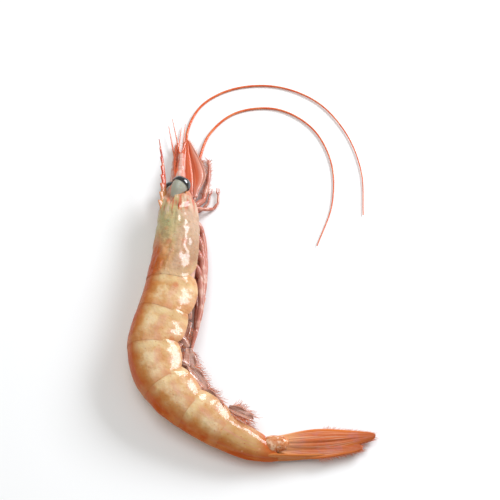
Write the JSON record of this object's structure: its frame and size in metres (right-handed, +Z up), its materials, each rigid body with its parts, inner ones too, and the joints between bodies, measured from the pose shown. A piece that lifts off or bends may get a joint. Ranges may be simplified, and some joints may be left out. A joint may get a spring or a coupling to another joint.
{
  "type": "deep-water rose shrimp",
  "caption": "Whole raw deep-water rose shrimp lying on its flank, tail curled, tail fan closed, long whips swept forward.",
  "frame": {"origin": "on the ground, under the middle of the box round the animal", "axes": "+X from the back to the belly side, +Y towards the head, +Z up, out of the right flank"},
  "size_m": [0.0712, 0.1318, 0.0132],
  "materials": {
    "shell": "wet translucent shell, cream to pale orange",
    "head_shell": "wet translucent shell, greenish cream",
    "tail_fan": "wet ribbed orange shell",
    "flesh": "moist translucent flesh",
    "swimmeret": "wet thin pinkish blades",
    "leg": "wet pink jointed shell",
    "scale": "wet orange plate with pale ribs",
    "whip": "thin ringed orange-red whip",
    "eye_stalk": "moist grey-green",
    "eye": "glossy black"
  },
  "bodies": {
    "root": {"shrimp": "shell"}
  },
  "joints": []
}
